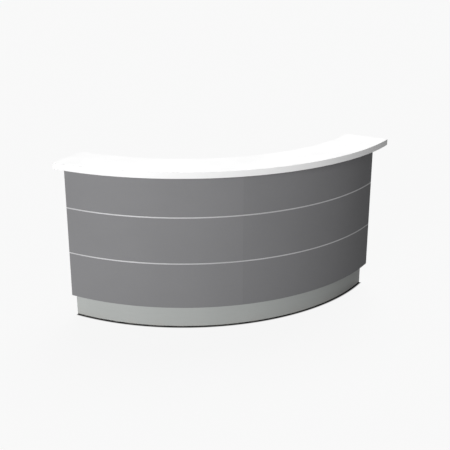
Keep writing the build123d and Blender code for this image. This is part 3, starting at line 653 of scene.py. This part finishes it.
arc = place(
    bent_tree,
    "GeometryNodeCurveArc",
    {
        "Resolution": given["Steps"],
        "Radius": maths(bent_tree, "MULTIPLY", both_radii, 0.5),
        "Start Angle": maths(bent_tree, "SUBTRACT", start, pi / 2),
        "Sweep Angle": sweep,
    },
    mode="RADIUS",
)
way_along = place(bent_tree, "GeometryNodeSplineParameter").outputs["Factor"]
paced = place(
    bent_tree,
    "GeometryNodeStoreNamedAttribute",
    {"Geometry": arc.outputs[0], "Name": "share", "Value": way_along},
    data_type="FLOAT",
    domain="POINT",
)
section = place(
    bent_tree,
    "GeometryNodeCurvePrimitiveQuadrilateral",
    {
        "Width": maths(bent_tree, "SUBTRACT", given["Outer Radius"], given["Inner Radius"]),
        "Height": given["Height"],
    },
)
corner_spot = place(bent_tree, "GeometryNodeInputPosition").outputs[0]
corner_side = place(bent_tree, "ShaderNodeSeparateXYZ", {0: corner_spot}).outputs["Y"]
upper = maths(bent_tree, "LESS_THAN", corner_side, 0.0)
ease_gap = maths(bent_tree, "SUBTRACT", given["Upper Ease"], given["Lower Ease"])
ease = maths(bent_tree, "ADD", maths(bent_tree, "MULTIPLY", ease_gap, upper), given["Lower Ease"])
rounded = place(
    bent_tree,
    "GeometryNodeFilletCurve",
    {"Curve": section.outputs[0], "Count": 3, "Radius": ease},
    mode="POLY",
)
swept = place(
    bent_tree,
    "GeometryNodeCurveToMesh",
    {"Curve": paced.outputs[0], "Profile Curve": rounded.outputs[0], "Fill Caps": True},
)
point = place(bent_tree, "ShaderNodeSeparateXYZ", {0: corner_spot}).outputs
x_squared = maths(bent_tree, "MULTIPLY", point["X"], point["X"])
y_squared = maths(bent_tree, "MULTIPLY", point["Y"], point["Y"])
radius = maths(bent_tree, "SQRT", maths(bent_tree, "ADD", x_squared, y_squared))
share = place(
    bent_tree, "GeometryNodeInputNamedAttribute", {"Name": "share"}, data_type="FLOAT"
).outputs[0]
start_cut = maths(bent_tree, "ARCSINE", maths(bent_tree, "DIVIDE", given["Start Inset"], radius))
end_cut = maths(bent_tree, "ARCSINE", maths(bent_tree, "DIVIDE", given["End Inset"], radius))
first = maths(bent_tree, "ADD", start, start_cut)
last = maths(bent_tree, "SUBTRACT", end, end_cut)
room = maths(bent_tree, "SUBTRACT", last, first)
settled = maths(bent_tree, "ADD", first, maths(bent_tree, "MULTIPLY", share, room))
out = maths(bent_tree, "MULTIPLY", radius, maths(bent_tree, "COSINE", settled))
half_height = maths(bent_tree, "MULTIPLY", given["Height"], 0.5)
base = maths(bent_tree, "ADD", given["Bottom"], half_height)
home = place(
    bent_tree,
    "ShaderNodeCombineXYZ",
    {
        "X": maths(bent_tree, "MULTIPLY", radius, maths(bent_tree, "SINE", settled)),
        "Y": maths(bent_tree, "SUBTRACT", given["Axis Y"], out),
        "Z": maths(bent_tree, "ADD", point["Z"], base),
    },
)
set_home = place(
    bent_tree,
    "GeometryNodeSetPosition",
    {"Geometry": swept.outputs[0], "Position": home.outputs[0]},
)
upright = place(
    bent_tree,
    "ShaderNodeSeparateXYZ",
    {0: place(bent_tree, "GeometryNodeInputNormal").outputs["Normal"]},
).outputs["Z"]
tilt = maths(bent_tree, "ABSOLUTE", upright)
side_tilt, face_tilt = 0.1, 0.97
past_side = maths(bent_tree, "GREATER_THAN", tilt, side_tilt)
short_of_face = maths(bent_tree, "LESS_THAN", tilt, face_tilt)
on_corner = maths(bent_tree, "MULTIPLY", past_side, short_of_face)
marked = place(
    bent_tree,
    "GeometryNodeStoreNamedAttribute",
    {"Geometry": set_home.outputs[0], "Name": "eased_edge", "Value": on_corner},
    data_type="FLOAT",
    domain="FACE",
)
real = place(bent_tree, "GeometryNodeRealizeInstances", {"Geometry": marked.outputs[0]})
smooth = place(bent_tree, "GeometryNodeSetShadeSmooth", {"Geometry": real.outputs[0]})
coated = place(
    bent_tree,
    "GeometryNodeSetMaterial",
    {"Geometry": smooth.outputs[0], "Material": given["Finish"]},
)
bent_end = bent_tree.nodes.new("NodeGroupOutput")
bent_tree.links.new(coated.outputs[0], bent_end.inputs[0])


def bent_board(
    name, radii, bottom, height, material, nodes=(), sweep=(-45, 45), insets=(0, 0),
    eases=(0.3, 0.3),
):
    """A board along the arc, in millimetres and degrees. Eases are its upper and lower corners."""
    piece = bpy.data.objects.new(name, bpy.data.meshes.new(name))
    bpy.context.scene.collection.objects.link(piece)
    steps_per_degree, end_ease, sharp_angle = 1.6, 0.0004, radians(60)
    values = {
        "Inner Radius": radii[0] / 1000,
        "Outer Radius": radii[1] / 1000,
        "Bottom": bottom / 1000,
        "Height": height / 1000,
        "Start Angle": radians(sweep[0]),
        "End Angle": radians(sweep[1]),
        "Start Inset": insets[0] / 1000,
        "End Inset": insets[1] / 1000,
        "Upper Ease": eases[0] / 1000,
        "Lower Ease": eases[1] / 1000,
        "Axis Y": arc_y,
        "Steps": 3 + round(steps_per_degree * (sweep[1] - sweep[0])),
        "Finish": material,
    }
    add_tree(piece, bent_tree, values)
    ends = piece.modifiers.new("eased_ends", "BEVEL")
    ends.width = end_ease
    ends.segments = 2
    ends.limit_method = "ANGLE"
    ends.angle_limit = sharp_angle
    weighted(piece)
    fixed(plain_mesh(piece, name), "counter", nodes)


# ---- Sole, end panels and uprights -------------------------------------------------------------
# The sole carries the bent front. Two thick end panels stand on the arc's ends, drilled for the
# bolts that join a neighbouring counter, and two narrow uprights carry the desk in the knee space.
board, end_board = 18, 22
front_back, sole_inner, sole_low = 1481.5, 1320, 158
bent_board(
    "sole_ring", (sole_inner, front_back), sole_low, board, pale_melamine,
    ["sole_plate"], insets=(end_board, end_board),
)
eased_copy("end_boards", "end_panels", 0.8, grey_laminate, "counter")
eased_copy("knee_uprights", "uprights", 0.6, pale_melamine, "counter")

# ---- Plinth ------------------------------------------------------------------------------------
# Boards faced with a silver laminate that is brushed lengthways. The curved one is clipped to the
# feet 6 mm off the floor, and a black rubber lip on its lower edge keeps the dust out; its black
# also fills the gap under the plinth as a painted shadow line.


def silver_finish():
    """A thin metal foil on a board: fine level lines, soft gloss and a faintly green grey."""
    material, tree, shader = finish_for("silver_laminate", Specular_IOR_Level=0.5)
    silver, bright_line = (0.39, 0.405, 0.395), (0.52, 0.53, 0.52)
    rubbed_silver = (0.55, 0.55, 0.54)
    sheet = use(
        tree, flecks, "Colour", Colour=(*silver, 1), Fleck_Scale=300.0, Fleck_Strength=0.05
    )
    lines = use(tree, relief, "Height", Scale=420.0, Stretch=(0.015, 0.015, 3.0))
    brushed = maths(tree, "MULTIPLY", ramp(tree, lines, 0.35, 0.65), 0.2)
    streaked = blended(tree, brushed, sheet, bright_line)
    rubbed = blended(tree, use(tree, edge_wear, "Mask", Amount=0.5), streaked, rubbed_silver)
    dust = use(tree, floor_dust, "Mask", Amount=0.3, Height=0.07)
    dusty = blended(tree, dust, rubbed, dust_colour)
    tree.links.new(dusty, shader.inputs["Base Color"])
    gloss = use(tree, handling, "Roughness", Roughness=0.42, Spread=0.14, Patch_Scale=5.0)
    tree.links.new(gloss, shader.inputs["Roughness"])
    bump = place(tree, "ShaderNodeBump", {"Strength": 0.5, "Distance": 0.00006, "Height": lines})
    tree.links.new(bump.outputs[0], shader.inputs["Normal"])
    return material


silver_laminate = silver_finish()


def moulded_finish(name, colour, roughness, texture_scale=900.0, depth=0.00008):
    """Moulded plastic or rubber with a fine sparked texture and dusty, uneven gloss."""
    material, tree, shader = finish_for(name)
    tone = use(
        tree, flecks, "Colour", Colour=(*colour, 1), Fleck_Scale=350.0, Fleck_Strength=0.2,
        Cloud_Strength=0.3,
    )
    pale = [0.5 * part + 0.08 for part in colour]
    rubbed = blended(tree, use(tree, edge_wear, "Mask", Amount=0.5), tone, pale)
    dust = use(tree, floor_dust, "Mask", Amount=0.3, Height=0.03)
    dusty = blended(tree, dust, rubbed, dust_colour)
    tree.links.new(dusty, shader.inputs["Base Color"])
    gloss = use(tree, handling, "Roughness", Roughness=roughness, Spread=0.2, Patch_Scale=18.0)
    tree.links.new(gloss, shader.inputs["Roughness"])
    spark = use(tree, relief, "Height", Scale=texture_scale)
    bump = place(tree, "ShaderNodeBump", {"Strength": 0.7, "Distance": depth, "Height": spark})
    tree.links.new(bump.outputs[0], shader.inputs["Normal"])
    return material


black_rubber = moulded_finish("black_rubber", (0.012, 0.012, 0.013), 0.8, 500.0)
plinth_inner, plinth_outer, plinth_height = 1439, 1455, 152
floor_gap, lip_clearance, lip_radii = 6, 0.3, (1446, 1454)
bent_board(
    "plinth_curve", (plinth_inner, plinth_outer), floor_gap, plinth_height, silver_laminate,
    ["plinth_fascia"], eases=(0.4, 0.8),
)
for name, node in (("plinth_ends", "plinth_returns"), ("unit_toe_boards", "unit_plinths")):
    eased_copy(name, node, 0.6, silver_laminate, "counter")
# Black rubber lip in the floor gap: a seal whose black also paints in the shadow line under the
# plinth.
bent_board(
    "dust_and_shadow_lip", lip_radii, lip_clearance, floor_gap - lip_clearance, black_rubber,
    eases=(0.2, 1.5),
)

# ---- Base units --------------------------------------------------------------------------------
# Two melamine carcasses, glued and dowelled: a drawer unit on the cashier's right and a cupboard on
# the left, with an adjustable shelf on four steel pins.
for name, node, ease in (
    ("carcass_sides", "unit_sides", 0.5),
    ("carcass_bottoms", "unit_bottoms", 0.4),
    ("carcass_backs", "unit_backs", 0.4),
    ("carcass_rails", "unit_rails", 0.5),
    ("loose_shelf", "cupboard_shelf", 0.8),
):
    eased_copy(name, node, ease, pale_melamine, "counter")
eased_copy("shelf_pin_set", "shelf_pins", 0.4, zinc_plate, "counter")

# ---- Drawer runners ----------------------------------------------------------------------------
# Rolled steel channels, powder coated and screwed to the carcass sides, with a nylon glide above
# and below at the mouth. The drawers' zinc-plated slides run between them.
powder_coat = moulded_finish("powder_coat", (0.36, 0.37, 0.38), 0.5, 520.0, 0.00012)
glide_nylon = moulded_finish("glide_nylon", (0.72, 0.72, 0.68), 0.45)
drawer_way = next(joint for joint in frame["joints"] if joint["name"] == "drawer_top_slide")["axis"]
unit_turn = degrees(atan2(drawer_way[0], drawer_way[1]))


def beside(turn_by, x, y, z):
    """A point given in millimetres in a frame turned about the arc axis, -Y outwards."""
    side = radians(turn_by)
    return Vector(
        (
            (cos(side) * x - sin(side) * y) / 1000,
            arc_y + (sin(side) * x + cos(side) * y) / 1000,
            z / 1000,
        )
    )


def heading(turn_by, x, y, z):
    """A direction in the same turned frame."""
    return beside(turn_by, x * 1000, y * 1000, z * 1000) - Vector((0, arc_y, 0))


eased_copy("channels", "runner_channels", 0.3, powder_coat, "counter")
eased_copy("glides", "runner_glides", 0.3, glide_nylon, "counter")
channel_web, slide_half_height, channel_screw_rows = 170.5, 14, (-920, -1110, -1300)
channel_middles = [
    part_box(f"drawer_{level}_slides")[0].z * 1000 + slide_half_height
    for level in ("top", "middle", "bottom")
]
channel_screws = [
    (beside(-unit_turn, side * channel_web, y, z), heading(-unit_turn, -side, 0, 0))
    for z in channel_middles
    for side in (-1, 1)
    for y in channel_screw_rows
]
screw_heads("channel_screws", channel_screws, 3.3, 1.3, "counter", zinc_plate, 5)

# ---- Drawers -----------------------------------------------------------------------------------
# Three folded steel boxes behind grey laminated fronts. Each has a bar handle with two screws put
# through from inside the box. The top one holds a moulded tray for coins and notes, and a cam lock.
satin_nickel = metal_finish("satin_nickel", (0.55, 0.54, 0.52), 0.3, 0.12, 0.12, (0.05, 0.05, 0.05))
moulded_black = moulded_finish("moulded_black", (0.02, 0.02, 0.021), 0.45)
box_inner_front, handle_reach = -881, 64
for level in ("top", "middle", "bottom"):
    body = f"drawer_{level}"
    for part, material, slot, ease in (
        ("front", grey_laminate, "grey_board", 0.3),
        ("box", powder_coat, "grey_steel", 0.5),
        ("slides", zinc_plate, "zinc", 0.3),
        ("handle", satin_nickel, "nickel", 0.3),
    ):
        eased_copy(f"{level}_{part}", f"{body}_{part}", ease, material, body)
    low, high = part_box(f"{body}_handle")
    handle_height = (low.z + high.z) / 2 * 1000
    handle_screws = [
        (beside(-unit_turn, x, box_inner_front, handle_height), heading(-unit_turn, 0, -1, 0))
        for x in (-handle_reach, handle_reach)
    ]
    screw_heads(f"{level}_handle_screws", handle_screws, 3.8, 1.9, body, zinc_plate, 7)
eased_copy("money_tray", "coin_tray", 0.8, moulded_black, "drawer_top")
eased_copy("lock_case", "lock_barrel", 0.3, satin_nickel, "drawer_top")
eased_copy("lock_plug", "lock_cam", 0.2, zinc_plate, "lock")

# ---- Cupboard door -----------------------------------------------------------------------------
# A grey laminated door on two lift-off hinges: a pin leaf on the carcass side and a leaf let into
# the door's edge, both with countersunk screws. The bar handle stands upright.
eased_copy("door_leaf", "door", 0.3, grey_laminate, "cupboard_door")
eased_copy("door_bar", "door_handle", 0.3, satin_nickel, "cupboard_door")
eased_copy("pin_leaves", "hinge_frame_leaves", 0.25, satin_nickel, "counter")
eased_copy("lift_off_leaves", "hinge_door_leaves", 0.25, satin_nickel, "cupboard_door")
leaf_half_height = 30
low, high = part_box("hinge_frame_leaves")
hinge_middles = (low.z * 1000 + leaf_half_height, high.z * 1000 - leaf_half_height)
frame_leaf_face, frame_leaf_columns, frame_leaf_rows = 191.5, (-884, -906), (-20, 20)
frame_screws = [
    (beside(unit_turn, frame_leaf_face, y, z + shift), heading(unit_turn, 1, 0, 0))
    for z in hinge_middles
    for y in frame_leaf_columns
    for shift in frame_leaf_rows
]
screw_heads("frame_leaf_screws", frame_screws, 2.9, 0.5, "counter", zinc_plate, 11)
door_leaf_face, door_leaf_column, door_leaf_rows = 188.5, -872.5, (-22, -6)
door_screws = [
    (beside(unit_turn, door_leaf_face, door_leaf_column, z + shift), heading(unit_turn, 1, 0, 0))
    for z in hinge_middles
    for shift in door_leaf_rows
]
screw_heads("door_leaf_screws", door_screws, 2.6, 0.4, "cupboard_door", zinc_plate, 12)
low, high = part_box("door_handle")
bar_middle = (low.z + high.z) / 2 * 1000
bar_across, door_inner_face = -150.5, -879
bar_screws = [
    (
        beside(unit_turn, bar_across, door_inner_face, bar_middle + shift),
        heading(unit_turn, 0, -1, 0),
    )
    for shift in (-handle_reach, handle_reach)
]
screw_heads("door_bar_screws", bar_screws, 3.8, 1.9, "cupboard_door", zinc_plate, 13)

# ---- Curved front ------------------------------------------------------------------------------
# Three equal bands of bent board, pinned over two bent plywood rails and faced with mid grey
# laminate in two sheets that meet in the middle, the right-hand sheet a darker tone as painted
# shade. A satin anodised strip fills each joint.


def ply_finish():
    """Birch plywood, unfaced: long grain on the faces and dark glue lines between the layers."""
    material, tree, shader = finish_for("bent_ply", Specular_IOR_Level=0.3)
    birch, dark_grain, glue_line = (0.5, 0.36, 0.22), (0.34, 0.22, 0.12), (0.2, 0.12, 0.06)
    layers_per_metre = 730.0
    sheet = use(
        tree, flecks, "Colour", Colour=(*birch, 1), Fleck_Scale=160.0,
        Fleck_Strength=0.18, Cloud_Strength=0.25,
    )
    grain = use(tree, relief, "Height", Scale=140.0, Stretch=(0.05, 0.05, 2.0))
    grained = blended(tree, maths(tree, "MULTIPLY", grain, 0.5), sheet, dark_grain)
    spot = place(tree, "ShaderNodeTexCoord").outputs["Object"]
    from_axis = place(
        tree, "ShaderNodeMapping", {"Vector": spot, "Location": (0, -arc_y, 0), "Scale": (1, 1, 0)}
    )
    radius = place(tree, "ShaderNodeVectorMath", {0: from_axis.outputs[0]}, operation="LENGTH")
    counted = maths(tree, "MULTIPLY", radius.outputs["Value"], layers_per_metre)
    glue = ramp(tree, maths(tree, "FRACT", counted), 0.82, 0.95)
    layered = blended(tree, maths(tree, "MULTIPLY", glue, 0.6), grained, glue_line)
    tree.links.new(layered, shader.inputs["Base Color"])
    dry = use(tree, handling, "Roughness", Roughness=0.72, Spread=0.12)
    tree.links.new(dry, shader.inputs["Roughness"])
    bump = place(tree, "ShaderNodeBump", {"Strength": 0.5, "Distance": 0.0002, "Height": grain})
    tree.links.new(bump.outputs[0], shader.inputs["Normal"])
    return material


bent_ply = ply_finish()
satin_aluminium = metal_finish(
    "satin_aluminium", (0.56, 0.56, 0.57), 0.42, 0.16, 0.12, (0.02, 0.02, 2.5), 0.00012, 0.25
)
# The second colour is painted shade: the right half of the front a tone darker than the left.
front_laminate = board_finish(
    "front_laminate", (0.2, 0.2, 0.206), (0.3, 0.3, 0.3), 0.75, 0.13, (0.19, 0.19, 0.196)
)
front_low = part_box("front_panel_lower")[0].z * 1000
band_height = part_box("front_panel_lower")[1].z * 1000 - front_low
strip_height, stem_height, rail_height = 8.0, 4, 42
band_radii, rail_radii = (1482, 1500), (1470.5, front_back)
head_radii, stem_radii = (1494, 1500), (1485, 1494)
for number, name in enumerate(("lower", "middle", "upper")):
    band_low = front_low + number * (band_height + strip_height)
    bent_board(
        f"{name}_band", band_radii, band_low, band_height, front_laminate,
        [f"front_panel_{name}"], eases=(0.5, 0.5),
    )
    if number:
        joint_middle = band_low - strip_height / 2
        rail_low, head_low, stem_low = (
            joint_middle - height / 2 for height in (rail_height, strip_height, stem_height)
        )
        bent_board(
            f"{name}_rail", rail_radii, rail_low, rail_height, bent_ply,
            ["joint_rails"], insets=(end_board, end_board),
        )
        bent_board(
            f"{name}_strip_head", head_radii, head_low, strip_height, satin_aluminium,
            ["inlay_strips"],
        )
        bent_board(
            f"{name}_strip_stem", stem_radii, stem_low, stem_height, satin_aluminium,
            ["inlay_strips"], eases=(0.1, 0.1),
        )

# ---- Worktop -----------------------------------------------------------------------------------
# The cashier's desk: one off-white laminated board, rounded at its near edge. Two black grommets
# with turning caps let cables down to a folded steel tray under the board's far side.
desk_laminate = board_finish("desk_laminate", (0.66, 0.66, 0.65), (0.54, 0.52, 0.49), 0.36, 0.07)
eased_copy("desk_board", "worktop", 0.4, desk_laminate, "counter")
eased_copy("grommet_collars", "grommet_rings", 0.4, moulded_black, "counter")
for side in ("left", "right"):
    eased_copy(
        f"{side}_cap", f"grommet_cap_{side}", 0.5, moulded_black, f"cap_{side}"
    )
eased_copy("cable_channel", "cable_tray", 0.4, powder_coat, "counter")
tray_low, tray_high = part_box("cable_tray")
tray_steel, flange_middle, tray_screw_columns = 0.0015, 0.008, (-0.22, -0.075, 0.075, 0.22)
tray_screws = [
    ((x, y, tray_high.z - tray_steel), (0, 0, -1))
    for x in tray_screw_columns
    for y in (tray_low.y + flange_middle, tray_high.y - flange_middle)
]
screw_heads("tray_screws", tray_screws, 4.0, 2.2, "counter", zinc_plate, 17)

# ---- Organiser ---------------------------------------------------------------------------------
# Compartments between the desk and the ledge: a thin bent lining behind the front, two dividers,
# a shelf in each bay, and grey cheeks on the end faces.
desk_top, under_ledge = 750, 1059
lining_inner, lining_outer, shelf_inner = 1465, 1470, 1338
divider_angle, half_divider = 14, board / 2
shelf_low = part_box("organiser_shelves")[0].z * 1000
bent_board(
    "organiser_lining", (lining_inner, lining_outer), desk_top, under_ledge - desk_top,
    pale_melamine, ["organiser_back"], insets=(end_board, end_board),
)
eased_copy("end_cheeks", "cheeks", 0.8, grey_laminate, "counter")
eased_copy("bay_dividers", "dividers", 0.8, pale_melamine, "counter")
for name, bay, ends in (
    ("left", (-45, -divider_angle), (end_board, half_divider)),
    ("middle", (-divider_angle, divider_angle), (half_divider, half_divider)),
    ("right", (divider_angle, 45), (half_divider, end_board)),
):
    bent_board(
        f"{name}_bay_shelf", (shelf_inner, lining_inner), shelf_low, board, pale_melamine,
        ["organiser_shelves"], bay, ends, (0.8, 0.8),
    )

# ---- Customer ledge ----------------------------------------------------------------------------
# A white laminated board, thickened by a second layer that is grooved over the curved front. Four
# plated angle brackets hold it to the dividers and cheeks.
ledge_inner, ledge_outer, groove_outer = 1300, 1600, 1500.5
under_layer, ledge_thickness = 22, 19
for name, radii, bottom, height, node, eases in (
    ("rear_layer", (ledge_inner, front_back), under_ledge, under_layer, "top_layer_rear",
     (0.3, 0.3)),
    ("front_layer", (groove_outer, ledge_outer), under_ledge, under_layer, "top_layer_front",
     (0.1, 1.5)),
    ("board", (ledge_inner, ledge_outer), under_ledge + under_layer, ledge_thickness,
     "counter_top", (1.5, 0.1)),
):
    bent_board(
        f"ledge_{name}", radii, bottom, height, white_laminate, [node],
        eases=eases,
    )
eased_copy("ledge_angles", "ledge_brackets", 0.4, zinc_plate, "counter")
bracket_middle, bracket_steel, screw_reach = -1400, 2, 19
bracket_screws = []
for side in (-1, 1):
    for angle, face in ((divider_angle, half_divider), (45, end_board)):
        turned = side * angle
        up_place = beside(
            turned, -side * (face + screw_reach), bracket_middle, under_ledge - bracket_steel
        )
        side_place = beside(
            turned, -side * (face + bracket_steel), bracket_middle, under_ledge - screw_reach
        )
        bracket_screws += [
            (up_place, heading(turned, 0, 0, -1)),
            (side_place, heading(turned, -side, 0, 0)),
        ]
screw_heads(
    "angle_screws", bracket_screws, 3.6, 1.8, "counter", zinc_plate, 19, ["bracket_screws"]
)
